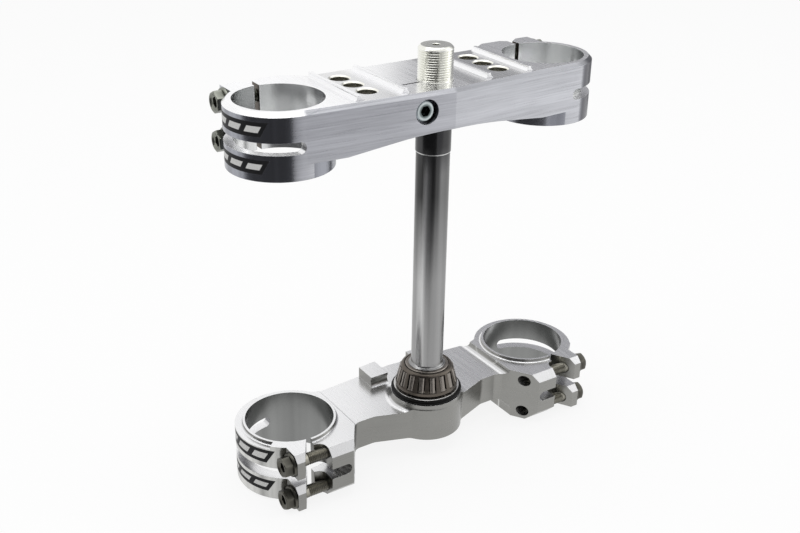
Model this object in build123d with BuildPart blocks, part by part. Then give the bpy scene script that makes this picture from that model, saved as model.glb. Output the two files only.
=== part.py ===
"""Motorcycle triple clamp: upper and lower fork clamps on a steering stem, with the lower head bearing.

The steering axis is +Z and the origin lies on it, at the seat of the lower bearing's seal on the
lower clamp. +X runs along the clamps, +Y points forward to the fork line. Lengths are millimetres.
"""
import os
from math import cos, radians, sin, tan

from build123d import *

os.makedirs("parts", exist_ok=True)

# Fork and steering geometry
FORK_SPACING = 196.0
FORK_OFFSET = 16.0
RUNNING_GAP = 0.05
SEAT_GAP = 0.3
OUTER_CLEARANCE = 10.0

# Upper clamp
UPPER_BORE = 54.0
UPPER_WALL = 5.5
UPPER_TOP_Z = 218.0
UPPER_HEIGHT = 40.0
UPPER_SLOT_OFFSET = -0.7
UPPER_SLOT_HEIGHT = 7.2
UPPER_FRONT_Y = 45.5
UPPER_REAR_BULGE = 6.0
UPPER_CHAMFER = 2.4
ARCH_MIDDLE_Z = 193.2
ARCH_SHOULDER_Z = 190.6
ARCH_END_Z = 187.0
ARCH_SHOULDER_X = 42.0
ARCH_END_X = 72.0
LUG_FRONT_Y = 55.0
LUG_INNER_X = 77.0
LUG_ROOT_X = 63.0
BOLT_SEAT_X = 116.5
UPPER_SLIT_X = 98.3
SLIT_WIDTH = 3.0
EDGE_BREAK = 0.8

# Deck of the upper clamp
RIB_X = (30.6, 62.0)
RIB_HEIGHT = 3.0
RIB_TOP_WIDTH = 2.2
RIB_COVE = 2.5
BAR_HOLE_X = 48.3
BAR_HOLE_PITCH = 15.7
BAR_HOLE_DIAMETER = 12.0
BAR_HOLE_MOUTH = 13.8

# Lower clamp
LOWER_BORE = 58.0
LOWER_WALL = 6.7
BLOCK_TOP_Z = -1.0
BLOCK_HEIGHT = 37.5
DECK_Z = -6.0
ARM_THICKNESS = 20.8
COLLAR_HEIGHT = 2.5
COLLAR_WALL = 1.6
COLLAR_COVE = 1.5
BLOCK_INNER_X = 64.5
BLOCK_FOOT_X = 66.0
DECK_COVE = 4.5
FOOT_COVE = 7.0
LOWER_FRONT_Y = 47.0
LOWER_FRONT_END_Y = 42.0
BLOCK_FRONT_Y = 36.0
WAIST_Y = -4.5
WAIST_X = 45.0
WAIST_BULGE_Y = -20.5
BULGE_WALL = 12.3
WAIST_FILLET = 7.0
LOWER_SLOT_OFFSET = 1.25
LOWER_SLOT_HEIGHT = 7.5
LOWER_SLOT_REAR_ANGLE = 19.0
INNER_EAR_REAR_Y = -30.5
OUTER_EAR_REAR_Y = -29.0
OUTER_EAR_REAR_X = 111.0
OUTER_EAR_CHAMFER = 4.0
OUTER_EAR_ANGLE = 48.0
INNER_EAR_X = (60.0, 76.7)
EAR_CHAMFER = 5.0
EAR_FOOT_CHAMFER = 7.5
EAR_GAP_INNER_X = 92.5
EAR_GAP_ROOT_Y = -17.5
LOWER_SLIT_X = 100.0
LOWER_SLIT_WIDTH = 3.0

# Boss and steering stops on the lower clamp
BOSS_WALL = 11.9
BOSS_COVE = 4.0
STOP_X = (13.5, 27.0)
STOP_Y = (28.0, 46.0)
STOP_TOP_Z = 1.5
STOP_GROOVE_DEPTH = 1.0
STOP_FOOT = 4.0

# Mudguard holes under the lower clamp
GUARD_HOLE_X = 38.0
GUARD_HOLE_Y = (6.0, 34.0)
GUARD_HOLE_DIAMETER = 6.0
GUARD_HOLE_DEPTH = 12.0

# Steering stem
STEM_THREAD_DIAMETER = 22.0
STEM_CLAMP_DIAMETER = 22.4
STEM_SHAFT_DIAMETER = 21.6
STEM_STEP_Z = 173.0
STEM_TOP_Z = 239.5
STEM_TOP_CHAMFER = 1.6
STEM_SEAT_DIAMETER = 25.0
STEM_SEAT_FILLET = 1.6
STEM_FLANGE_DIAMETER = 34.0
STEM_FLANGE_THICKNESS = 4.0
STEM_BORE_DIAMETER = 13.0
STEM_BORE_TOP_Z = 160.0
STEM_CENTRE_DIAMETER = 4.6
STEM_CENTRE_DEPTH = 9.0

# Lower head bearing: widths are measured outwards from the stem's seat
SEAL_WIDTH = 11.7
SEAL_HEIGHT = 2.7
CARRIER_WIDTH = 9.9
CARRIER_HUB_WIDTH = 5.5
CARRIER_THICKNESS = 1.0
RACE_BOTTOM_Z = 4.2
RACE_TOP_Z = 20.3
RACE_TOP_RIB_WIDTH = 2.2
RACE_TOP_RIB_Z = 17.6
RACE_FOOT_RIB_WIDTH = 5.9
ROLLER_COUNT = 16
ROLLER_RADIUS = 2.4
ROLLER_LENGTH = 10.5
ROLLER_PITCH_WIDTH = 4.8
ROLLER_MIDDLE_Z = 12.3
ROLLER_TILT = 12.0
ROLLER_TAPER = 2.0
CAGE_FOOT_WIDTH = 8.6
CAGE_FOOT_BAND = 1.8
CAGE_TOP_WIDTH = 5.4
CAGE_FOOT_Z = 5.1
CAGE_TOP_Z = 19.7
CAGE_CROWN = 1.8
CAGE_WALL = 0.9
CAGE_LIP_WIDTH = 2.8
CAGE_POCKET_GAP = 0.15

# Fork pinch bolts and stem pinch bolt
BOLT_DIAMETER = 8.0
BOLT_HOLE_DIAMETER = 8.5
BOLT_FLANGE_DIAMETER = 16.0
BOLT_FLANGE_HEIGHT = 1.8
BOLT_FLANGE_TAPER = 15.0
BOLT_HEX_ACROSS = 12.0
BOLT_HEX_BEVEL = 60.0
BOLT_HEAD_HEIGHT = 7.5
BOLT_SOCKET_ACROSS = 6.0
BOLT_SOCKET_DEPTH = 4.0
BOLT_TIP_CHAMFER = 0.9
FORK_BOLT_LENGTH = 36.0
UPPER_BOLT_Y = 48.7
UPPER_BOLT_INSET = 8.0
LOWER_BOLT_Y = -21.0
LOWER_BOLT_INSET = 6.3
STEM_BOLT_X = -19.9
STEM_BOLT_Z = 206.3
STEM_BOLT_SEAT_Y = -11.3
STEM_BOLT_LENGTH = 30.0
STEM_BOLT_HEAD_DIAMETER = 13.0
STEM_BOLT_HEAD_HEIGHT = 8.0
STEM_BOLT_MOUTH_DIAMETER = 15.5
STEM_SLIT_WIDTH = 1.6
STEM_SLIT_END_X = -26.5
STEM_RELIEF_DIAMETER = 3.0

# Sizes that follow from those above
FORK_X = FORK_SPACING / 2
FORK_AXES = ((-FORK_X, FORK_OFFSET), (FORK_X, FORK_OFFSET))
UPPER_RING_RADIUS = UPPER_BORE / 2 + UPPER_WALL
UPPER_BOTTOM_Z = UPPER_TOP_Z - UPPER_HEIGHT
UPPER_SLOT_Z = UPPER_TOP_Z - UPPER_HEIGHT / 2 + UPPER_SLOT_OFFSET
UPPER_BOLT_Z = (UPPER_BOTTOM_Z + UPPER_BOLT_INSET, UPPER_TOP_Z - UPPER_BOLT_INSET)
UPPER_REAR_Y = FORK_OFFSET - UPPER_RING_RADIUS
LOWER_RING_RADIUS = LOWER_BORE / 2 + LOWER_WALL
BLOCK_BOTTOM_Z = BLOCK_TOP_Z - BLOCK_HEIGHT
LOWER_SLOT_Z = BLOCK_TOP_Z - BLOCK_HEIGHT / 2 + LOWER_SLOT_OFFSET
LOWER_BOLT_Z = (BLOCK_BOTTOM_Z + LOWER_BOLT_INSET, BLOCK_TOP_Z - LOWER_BOLT_INSET)
ARM_BOTTOM_Z = DECK_Z - ARM_THICKNESS
COLLAR_TOP_Z = BLOCK_TOP_Z + COLLAR_HEIGHT
THREAD_HOLE_DIAMETER = BOLT_DIAMETER + 2 * RUNNING_GAP
STEM_SEAT_RADIUS = STEM_SEAT_DIAMETER / 2
BULGE_RADIUS = STEM_SEAT_RADIUS + BULGE_WALL
BOSS_RADIUS = STEM_SEAT_RADIUS + BOSS_WALL
SEAL_RADIUS = STEM_SEAT_RADIUS + SEAL_WIDTH
CARRIER_RADIUS = STEM_SEAT_RADIUS + CARRIER_WIDTH
CARRIER_HUB_RADIUS = STEM_SEAT_RADIUS + CARRIER_HUB_WIDTH
RACE_TOP_RIB_RADIUS = STEM_SEAT_RADIUS + RACE_TOP_RIB_WIDTH
RACE_FOOT_RIB_RADIUS = STEM_SEAT_RADIUS + RACE_FOOT_RIB_WIDTH
ROLLER_PITCH_RADIUS = STEM_SEAT_RADIUS + ROLLER_PITCH_WIDTH
CAGE_FOOT_RADIUS = STEM_SEAT_RADIUS + CAGE_FOOT_WIDTH
CAGE_TOP_RADIUS = STEM_SEAT_RADIUS + CAGE_TOP_WIDTH
CAGE_LIP_RADIUS = STEM_SEAT_RADIUS + CAGE_LIP_WIDTH
REACH = FORK_X + max(UPPER_RING_RADIUS, LOWER_RING_RADIUS) + OUTER_CLEARANCE
DEPTH = 2 * (max(UPPER_RING_RADIUS, LOWER_RING_RADIUS) + FORK_OFFSET)


def side_plane(side, y, z, x):
    """A plane on a fork bolt's axis, facing outboard on the given side."""
    return Plane(origin=(side * x, y, z), x_dir=(0, side, 0), z_dir=(side, 0, 0))


def save(piece, name):
    """Label a finished piece and write it under its own name."""
    piece.part.label = name
    export_step(piece.part, f"parts/{name}.step")


# Upper clamp
with BuildPart() as upper_clamp:
    # The arm: its plan between the rings, then its arched elevation
    with BuildSketch(Plane.XY.offset(UPPER_BOTTOM_Z)):
        with BuildLine():
            Polyline(
                (0, UPPER_REAR_Y - UPPER_REAR_BULGE),
                (FORK_X, UPPER_REAR_Y),
                (FORK_X, UPPER_FRONT_Y),
                (0, UPPER_FRONT_Y),
                close=True,
            )
        make_face()
        mirror(about=Plane.YZ)
    extrude(amount=UPPER_HEIGHT)
    with BuildSketch(Plane.XZ.offset(-DEPTH)):
        with BuildLine():
            arch = ThreePointArc(
                (-ARCH_SHOULDER_X, ARCH_SHOULDER_Z), (0, ARCH_MIDDLE_Z), (ARCH_SHOULDER_X, ARCH_SHOULDER_Z)
            )
            haunch = Line(arch @ 1, (ARCH_END_X, ARCH_END_Z))
            Polyline(
                haunch @ 1,
                (REACH, ARCH_END_Z),
                (REACH, UPPER_TOP_Z),
                (-REACH, UPPER_TOP_Z),
                (-REACH, ARCH_END_Z),
                (-ARCH_END_X, ARCH_END_Z),
                arch @ 0,
            )
        make_face()
    extrude(amount=2 * DEPTH, mode=Mode.INTERSECT)

    # Fork rings and the bolt lugs in front of them
    with BuildSketch(Plane.XY.offset(UPPER_BOTTOM_Z)):
        with Locations(*FORK_AXES):
            Circle(UPPER_RING_RADIUS)
        with BuildLine():
            Polyline(
                (FORK_X, FORK_OFFSET),
                (LUG_ROOT_X, UPPER_FRONT_Y),
                (LUG_INNER_X, LUG_FRONT_Y),
                (BOLT_SEAT_X, LUG_FRONT_Y),
                (BOLT_SEAT_X, FORK_OFFSET + BOLT_SEAT_X - FORK_X),
                close=True,
            )
        make_face()
        mirror(about=Plane.YZ)
    extrude(amount=UPPER_HEIGHT)
    rear_edges = (
        upper_clamp.edges()
        .filter_by_position(Axis.Z, UPPER_TOP_Z, UPPER_TOP_Z)
        .filter_by_position(Axis.Y, UPPER_REAR_Y - UPPER_REAR_BULGE, FORK_OFFSET)
    )
    chamfer(rear_edges, UPPER_CHAMFER)

    # Ribs either side of each bar platform
    with BuildSketch(Plane.XZ.offset(-(UPPER_FRONT_Y - UPPER_CHAMFER))):
        for rib_x in RIB_X:
            with BuildLine():
                for direction in (-1, 1):
                    flank = TangentArc(
                        (rib_x + direction * (RIB_TOP_WIDTH / 2 + RIB_COVE), UPPER_TOP_Z),
                        (rib_x + direction * RIB_TOP_WIDTH / 2, UPPER_TOP_Z + RIB_COVE),
                        tangent=(-direction, 0),
                    )
                    Line(flank @ 1, (rib_x + direction * RIB_TOP_WIDTH / 2, UPPER_TOP_Z + RIB_HEIGHT))
                Line(
                    (rib_x - RIB_TOP_WIDTH / 2, UPPER_TOP_Z + RIB_HEIGHT),
                    (rib_x + RIB_TOP_WIDTH / 2, UPPER_TOP_Z + RIB_HEIGHT),
                )
                Line(
                    (rib_x - RIB_TOP_WIDTH / 2 - RIB_COVE, UPPER_TOP_Z),
                    (rib_x + RIB_TOP_WIDTH / 2 + RIB_COVE, UPPER_TOP_Z),
                )
            make_face()
        mirror(about=Plane.YZ)
    extrude(amount=UPPER_FRONT_Y - UPPER_REAR_Y - 2 * UPPER_CHAMFER)

    # Fork bores and the slots that make each ring springy
    with BuildSketch(Plane.XY.offset(UPPER_BOTTOM_Z)):
        with Locations(*FORK_AXES):
            Circle(UPPER_BORE / 2)
    extrude(amount=UPPER_HEIGHT, mode=Mode.SUBTRACT)
    with BuildSketch(Plane.XZ.offset(-DEPTH)):
        with Locations((FORK_X, UPPER_SLOT_Z)):
            SlotOverall(2 * (REACH - FORK_X), UPPER_SLOT_HEIGHT, align=(Align.MIN, Align.CENTER))
        mirror(about=Plane.YZ)
    extrude(amount=2 * DEPTH, mode=Mode.SUBTRACT)
    with BuildSketch(Plane.XY.offset(UPPER_BOTTOM_Z)):
        with BuildLine():
            Polyline(
                (UPPER_SLIT_X - SLIT_WIDTH / 2, FORK_OFFSET),
                (UPPER_SLIT_X + SLIT_WIDTH / 2, FORK_OFFSET),
                (UPPER_SLIT_X + SLIT_WIDTH / 2, UPPER_BOLT_Y + SLIT_WIDTH / 2),
                (UPPER_SLIT_X + BOLT_DIAMETER, LUG_FRONT_Y),
                (UPPER_SLIT_X - 2 * SLIT_WIDTH, LUG_FRONT_Y),
                (UPPER_SLIT_X - SLIT_WIDTH / 2, LUG_FRONT_Y - SLIT_WIDTH),
                close=True,
            )
        make_face()
        mirror(about=Plane.YZ)
    extrude(amount=UPPER_HEIGHT, mode=Mode.SUBTRACT)
    for side in (-1, 1):
        for bolt_z in UPPER_BOLT_Z:
            with BuildSketch(side_plane(side, UPPER_BOLT_Y, bolt_z, BOLT_SEAT_X)):
                Circle(BOLT_FLANGE_DIAMETER / 2 + SEAT_GAP)
            extrude(amount=BOLT_HEAD_HEIGHT, mode=Mode.SUBTRACT)
            with BuildSketch(side_plane(side, UPPER_BOLT_Y, bolt_z, BOLT_SEAT_X)):
                Circle(BOLT_HOLE_DIAMETER / 2)
            extrude(amount=UPPER_SLIT_X - BOLT_SEAT_X, mode=Mode.SUBTRACT)
            with BuildSketch(side_plane(side, UPPER_BOLT_Y, bolt_z, UPPER_SLIT_X)):
                Circle(THREAD_HOLE_DIAMETER / 2)
            extrude(amount=LUG_ROOT_X - UPPER_SLIT_X, mode=Mode.SUBTRACT)

    # Bar mount holes
    with Locations(Plane.XY.offset(UPPER_TOP_Z)):
        with Locations((-BAR_HOLE_X, FORK_OFFSET), (BAR_HOLE_X, FORK_OFFSET)):
            with GridLocations(0, BAR_HOLE_PITCH, 1, 3):
                CounterSinkHole(BAR_HOLE_DIAMETER / 2, BAR_HOLE_MOUTH / 2, UPPER_HEIGHT)

    # Stem bore, pinch slit with its relief hole, and the pinch bolt's hole
    with BuildSketch(Plane.XY.offset(UPPER_BOTTOM_Z)):
        Circle(STEM_CLAMP_DIAMETER / 2 + RUNNING_GAP)
        with Locations((STEM_SLIT_END_X, 0)):
            Circle(STEM_RELIEF_DIAMETER / 2)
            Rectangle(-STEM_SLIT_END_X, STEM_SLIT_WIDTH, align=(Align.MIN, Align.CENTER))
    extrude(amount=UPPER_HEIGHT, mode=Mode.SUBTRACT)
    pinch_plane = Plane(origin=(STEM_BOLT_X, STEM_BOLT_SEAT_Y, STEM_BOLT_Z), x_dir=(1, 0, 0), z_dir=(0, -1, 0))
    with BuildSketch(pinch_plane):
        Circle(STEM_BOLT_MOUTH_DIAMETER / 2)
    extrude(amount=DEPTH, mode=Mode.SUBTRACT)
    with BuildSketch(pinch_plane):
        Circle(BOLT_HOLE_DIAMETER / 2)
    extrude(amount=STEM_BOLT_SEAT_Y, mode=Mode.SUBTRACT)
    with BuildSketch(pinch_plane):
        Circle(THREAD_HOLE_DIAMETER / 2)
    extrude(amount=-STEM_BOLT_LENGTH - EDGE_BREAK, mode=Mode.SUBTRACT)
save(upper_clamp, "upper_clamp")

# Lower clamp
with BuildPart() as lower_clamp:
    # Elevation: ring blocks stand above the deck and below the arm, joined by coves
    with BuildSketch(Plane.XZ.offset(-DEPTH)):
        with BuildLine():
            deck = Line((0, DECK_Z), (BLOCK_INNER_X - DECK_COVE, DECK_Z))
            deck_cove = TangentArc(deck @ 1, (BLOCK_INNER_X, DECK_Z + DECK_COVE), tangent=(1, 0))
            block = Polyline(
                deck_cove @ 1,
                (BLOCK_INNER_X, COLLAR_TOP_Z),
                (REACH, COLLAR_TOP_Z),
                (REACH, BLOCK_BOTTOM_Z),
                (BLOCK_FOOT_X, BLOCK_BOTTOM_Z),
                (BLOCK_FOOT_X, ARM_BOTTOM_Z - FOOT_COVE),
            )
            foot_cove = TangentArc(block @ 1, (BLOCK_FOOT_X - FOOT_COVE, ARM_BOTTOM_Z), tangent=(0, 1))
            Polyline(foot_cove @ 1, (0, ARM_BOTTOM_Z), (0, DECK_Z))
        make_face()
        mirror(about=Plane.YZ)
    extrude(amount=2 * DEPTH)

    # Round boss under the bearing
    with BuildSketch(Plane.XZ):
        with BuildLine():
            Polyline((0, ARM_BOTTOM_Z), (0, 0), (BOSS_RADIUS, 0), (BOSS_RADIUS, DECK_Z + BOSS_COVE))
            TangentArc(
                (BOSS_RADIUS + BOSS_COVE, DECK_Z), (BOSS_RADIUS, DECK_Z + BOSS_COVE), tangent=(-1, 0)
            )
            Polyline((BOSS_RADIUS + BOSS_COVE, DECK_Z), (BOSS_RADIUS + BOSS_COVE, ARM_BOTTOM_Z), (0, ARM_BOTTOM_Z))
        make_face()
    revolve(axis=Axis.Z)

    # Steering stops, grooved at the rear
    with BuildSketch(Plane.YZ.offset(STOP_X[0])):
        with BuildLine():
            stop_face = Polyline(
                (STOP_Y[1], DECK_Z),
                (STOP_Y[1], STOP_TOP_Z),
                (STOP_Y[0], STOP_TOP_Z),
                (STOP_Y[0], STOP_TOP_Z - 2 * STOP_GROOVE_DEPTH),
                (STOP_Y[0] + STOP_GROOVE_DEPTH, STOP_TOP_Z - 2 * STOP_GROOVE_DEPTH),
                (STOP_Y[0] + STOP_GROOVE_DEPTH, DECK_Z + STOP_FOOT),
            )
            stop_foot = TangentArc(stop_face @ 1, (STOP_Y[0] + STOP_GROOVE_DEPTH - STOP_FOOT, DECK_Z), tangent=(0, -1))
            Line(stop_foot @ 1, (STOP_Y[1], DECK_Z))
        make_face()
    extrude(amount=STOP_X[1] - STOP_X[0])
    mirror(about=Plane.YZ)

    # Plan: waisted arm with a bulge round the stem, fork rings and clamping ears
    with BuildSketch(Plane.XY.offset(BLOCK_BOTTOM_Z)) as plan:
        with BuildLine():
            Polyline(
                (0, LOWER_FRONT_Y),
                (BLOCK_INNER_X - DECK_COVE, LOWER_FRONT_END_Y),
                (BLOCK_INNER_X, BLOCK_FRONT_Y),
                (FORK_X - LOWER_RING_RADIUS / 2, FORK_OFFSET + LOWER_RING_RADIUS * sin(radians(45))),
                (FORK_X, FORK_OFFSET),
                (BOLT_SEAT_X, FORK_OFFSET - LOWER_RING_RADIUS / 2),
                (BOLT_SEAT_X, OUTER_EAR_REAR_Y),
                (LOWER_SLIT_X, OUTER_EAR_REAR_Y),
                (LOWER_SLIT_X, INNER_EAR_REAR_Y),
                (INNER_EAR_X[1], INNER_EAR_REAR_Y),
                (INNER_EAR_X[0], WAIST_Y),
                (WAIST_X, WAIST_Y),
                (0, WAIST_BULGE_Y),
                close=True,
            )
        make_face()
        mirror(about=Plane.YZ)
        Circle(BULGE_RADIUS)
        with Locations(*FORK_AXES):
            Circle(LOWER_RING_RADIUS)
        waist_corners = (
            plan.vertices()
            .filter_by_position(Axis.Y, WAIST_BULGE_Y, WAIST_Y)
            .filter_by_position(Axis.X, -INNER_EAR_X[0], INNER_EAR_X[0])
        )
        fillet(waist_corners, WAIST_FILLET)
    extrude(amount=BLOCK_HEIGHT + STOP_TOP_Z - BLOCK_TOP_Z + SEAT_GAP, mode=Mode.INTERSECT)

    # Each block is cut down round its collar; the outer ear stays as high as the collar
    with BuildSketch(Plane.XY.offset(BLOCK_TOP_Z)):
        with Locations((BLOCK_INNER_X - DECK_COVE, 0)):
            Rectangle(REACH, 2 * DEPTH, align=(Align.MIN, Align.CENTER))
        with Locations((FORK_X, FORK_OFFSET)):
            Circle(LOWER_BORE / 2 + COLLAR_WALL, mode=Mode.SUBTRACT)
        with BuildLine():
            ear_angle = radians(OUTER_EAR_ANGLE)
            Polyline(
                (LOWER_SLIT_X, FORK_OFFSET - (LOWER_SLIT_X - FORK_X) / tan(ear_angle)),
                (LOWER_SLIT_X, FORK_OFFSET - DEPTH),
                (FORK_X + DEPTH, FORK_OFFSET - DEPTH),
                (FORK_X + DEPTH * sin(ear_angle), FORK_OFFSET - DEPTH * cos(ear_angle)),
                close=True,
            )
        make_face(mode=Mode.SUBTRACT)
        mirror(about=Plane.YZ)
    extrude(amount=COLLAR_HEIGHT, mode=Mode.SUBTRACT)
    collar_feet = (
        lower_clamp.edges()
        .filter_by(GeomType.CIRCLE)
        .filter_by_position(Axis.Z, BLOCK_TOP_Z, BLOCK_TOP_Z)
        .filter_by(lambda edge: abs(edge.radius - LOWER_BORE / 2 - COLLAR_WALL) < RUNNING_GAP)
    )
    fillet(collar_feet, COLLAR_COVE)

    # Ear chamfers, cut across each ear from the side
    for side in (-1, 1):
        with BuildSketch(side_plane(side, 0, 0, INNER_EAR_X[0])):
            for ear_y, ear_z, size in (
                (INNER_EAR_REAR_Y, BLOCK_TOP_Z, EAR_CHAMFER),
                (INNER_EAR_REAR_Y, BLOCK_BOTTOM_Z, -EAR_FOOT_CHAMFER),
            ):
                with BuildLine():
                    Polyline(
                        (side * ear_y, ear_z),
                        (side * (ear_y + abs(size)), ear_z),
                        (side * ear_y, ear_z - size),
                        close=True,
                    )
                make_face()
        extrude(amount=LOWER_SLIT_X - INNER_EAR_X[0], mode=Mode.SUBTRACT)
        with BuildSketch(side_plane(side, 0, 0, LOWER_SLIT_X)):
            for ear_z in (COLLAR_TOP_Z, LOWER_SLOT_Z - LOWER_SLOT_HEIGHT / 2):
                with BuildLine():
                    Polyline(
                        (side * OUTER_EAR_REAR_Y, ear_z),
                        (side * (OUTER_EAR_REAR_Y + OUTER_EAR_CHAMFER), ear_z),
                        (side * OUTER_EAR_REAR_Y, ear_z - OUTER_EAR_CHAMFER),
                        close=True,
                    )
                make_face()
        extrude(amount=BOLT_SEAT_X - LOWER_SLIT_X, mode=Mode.SUBTRACT)

    # Fork bores, the slot round each outer wall and the gap between the ears
    with BuildSketch(Plane.XY.offset(BLOCK_BOTTOM_Z)):
        with Locations(*FORK_AXES):
            Circle(LOWER_BORE / 2)
    extrude(amount=BLOCK_HEIGHT + COLLAR_HEIGHT, mode=Mode.SUBTRACT)
    with BuildSketch(Plane.XZ.offset(-FORK_OFFSET)):
        with Locations((FORK_X, LOWER_SLOT_Z)):
            SlotOverall(2 * (REACH - FORK_X), LOWER_SLOT_HEIGHT, align=(Align.MIN, Align.CENTER))
        mirror(about=Plane.YZ)
    extrude(amount=-DEPTH, mode=Mode.SUBTRACT)
    slot_angle = radians(LOWER_SLOT_REAR_ANGLE)
    with BuildSketch(Plane.XY.offset(LOWER_SLOT_Z - LOWER_SLOT_HEIGHT / 2)):
        with BuildLine():
            Polyline(
                (FORK_X, FORK_OFFSET),
                (FORK_X - DEPTH * sin(slot_angle), FORK_OFFSET - DEPTH * cos(slot_angle)),
                (FORK_X + DEPTH, FORK_OFFSET - DEPTH * cos(slot_angle)),
                (FORK_X + DEPTH, FORK_OFFSET),
                close=True,
            )
        make_face()
        mirror(about=Plane.YZ)
    extrude(amount=LOWER_SLOT_HEIGHT, mode=Mode.SUBTRACT)
    for side in (-1, 1):
        slot_end = Vector(-side * sin(slot_angle), -cos(slot_angle), 0)
        with BuildSketch(Plane(origin=(side * FORK_X, FORK_OFFSET, LOWER_SLOT_Z), z_dir=slot_end)):
            Circle(LOWER_SLOT_HEIGHT / 2)
        extrude(amount=DEPTH, mode=Mode.SUBTRACT)
    with BuildSketch(Plane.XY.offset(BLOCK_BOTTOM_Z)):
        with BuildLine():
            gap_arc = TangentArc(
                (EAR_GAP_INNER_X, EAR_GAP_ROOT_Y - (LOWER_SLIT_X - LOWER_SLIT_WIDTH / 2 - EAR_GAP_INNER_X)),
                (LOWER_SLIT_X - LOWER_SLIT_WIDTH / 2, EAR_GAP_ROOT_Y),
                tangent=(0, 1),
            )
            Polyline(
                gap_arc @ 1,
                (LOWER_SLIT_X - LOWER_SLIT_WIDTH / 2, FORK_OFFSET),
                (LOWER_SLIT_X + LOWER_SLIT_WIDTH / 2, FORK_OFFSET),
                (LOWER_SLIT_X + LOWER_SLIT_WIDTH / 2, FORK_OFFSET - LOWER_BORE / 2),
                (OUTER_EAR_REAR_X, OUTER_EAR_REAR_Y),
                (OUTER_EAR_REAR_X, INNER_EAR_REAR_Y),
                (EAR_GAP_INNER_X, INNER_EAR_REAR_Y),
                gap_arc @ 0,
            )
        make_face()
        mirror(about=Plane.YZ)
    extrude(amount=BLOCK_HEIGHT + COLLAR_HEIGHT, mode=Mode.SUBTRACT)
    for side in (-1, 1):
        for bolt_z in LOWER_BOLT_Z:
            with BuildSketch(side_plane(side, LOWER_BOLT_Y, bolt_z, BOLT_SEAT_X)):
                Circle(BOLT_FLANGE_DIAMETER / 2 + SEAT_GAP)
            extrude(amount=BOLT_HEAD_HEIGHT, mode=Mode.SUBTRACT)
            with BuildSketch(side_plane(side, LOWER_BOLT_Y, bolt_z, BOLT_SEAT_X)):
                Circle(BOLT_HOLE_DIAMETER / 2)
            extrude(amount=LOWER_SLIT_X - BOLT_SEAT_X, mode=Mode.SUBTRACT)
            with BuildSketch(side_plane(side, LOWER_BOLT_Y, bolt_z, LOWER_SLIT_X)):
                Circle(THREAD_HOLE_DIAMETER / 2)
            extrude(amount=INNER_EAR_X[0] - LOWER_SLIT_X, mode=Mode.SUBTRACT)

    # Stem bore with the recess for its flange, and the mudguard's threaded holes
    with BuildSketch(Plane.XY):
        Circle(STEM_SEAT_RADIUS + RUNNING_GAP)
    extrude(amount=ARM_BOTTOM_Z, mode=Mode.SUBTRACT)
    with BuildSketch(Plane.XY.offset(ARM_BOTTOM_Z)):
        Circle(STEM_FLANGE_DIAMETER / 2 + SEAT_GAP)
    extrude(amount=STEM_FLANGE_THICKNESS, mode=Mode.SUBTRACT)
    with BuildSketch(Plane.XY.offset(ARM_BOTTOM_Z)):
        with Locations(*[(side * GUARD_HOLE_X, y) for side in (-1, 1) for y in GUARD_HOLE_Y]):
            Circle(GUARD_HOLE_DIAMETER / 2)
    extrude(amount=GUARD_HOLE_DEPTH, mode=Mode.SUBTRACT)
save(lower_clamp, "lower_clamp")

# Steering stem, one turned shaft
with BuildPart() as steering_stem:
    with BuildSketch(Plane.XZ):
        with BuildLine():
            stem_outline = Polyline(
                (0, ARM_BOTTOM_Z),
                (STEM_FLANGE_DIAMETER / 2, ARM_BOTTOM_Z),
                (STEM_FLANGE_DIAMETER / 2, ARM_BOTTOM_Z + STEM_FLANGE_THICKNESS),
                (STEM_SEAT_RADIUS, ARM_BOTTOM_Z + STEM_FLANGE_THICKNESS),
                (STEM_SEAT_RADIUS, RACE_TOP_Z + EDGE_BREAK),
                (STEM_SHAFT_DIAMETER / 2 + STEM_SEAT_FILLET, RACE_TOP_Z + EDGE_BREAK),
            )
            seat_fillet = TangentArc(
                (STEM_SHAFT_DIAMETER / 2 + STEM_SEAT_FILLET, RACE_TOP_Z + EDGE_BREAK),
                (STEM_SHAFT_DIAMETER / 2, RACE_TOP_Z + EDGE_BREAK + STEM_SEAT_FILLET),
                tangent=(-1, 0),
            )
            Polyline(
                seat_fillet @ 1,
                (STEM_SHAFT_DIAMETER / 2, STEM_STEP_Z),
                (STEM_CLAMP_DIAMETER / 2, STEM_STEP_Z),
                (STEM_CLAMP_DIAMETER / 2, UPPER_TOP_Z),
                (STEM_THREAD_DIAMETER / 2, UPPER_TOP_Z),
                (STEM_THREAD_DIAMETER / 2, STEM_TOP_Z - STEM_TOP_CHAMFER),
                (STEM_THREAD_DIAMETER / 2 - STEM_TOP_CHAMFER, STEM_TOP_Z),
                (0, STEM_TOP_Z),
                (0, ARM_BOTTOM_Z),
            )
        make_face()
    revolve(axis=Axis.Z)
    with BuildSketch(Plane.XY.offset(ARM_BOTTOM_Z)):
        Circle(STEM_BORE_DIAMETER / 2)
    extrude(amount=STEM_BORE_TOP_Z - ARM_BOTTOM_Z, mode=Mode.SUBTRACT)
    with BuildSketch(Plane.XY.offset(STEM_TOP_Z)):
        Circle(STEM_CENTRE_DIAMETER / 2)
    extrude(amount=-STEM_CENTRE_DEPTH, mode=Mode.SUBTRACT)
save(steering_stem, "steering_stem")

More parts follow.
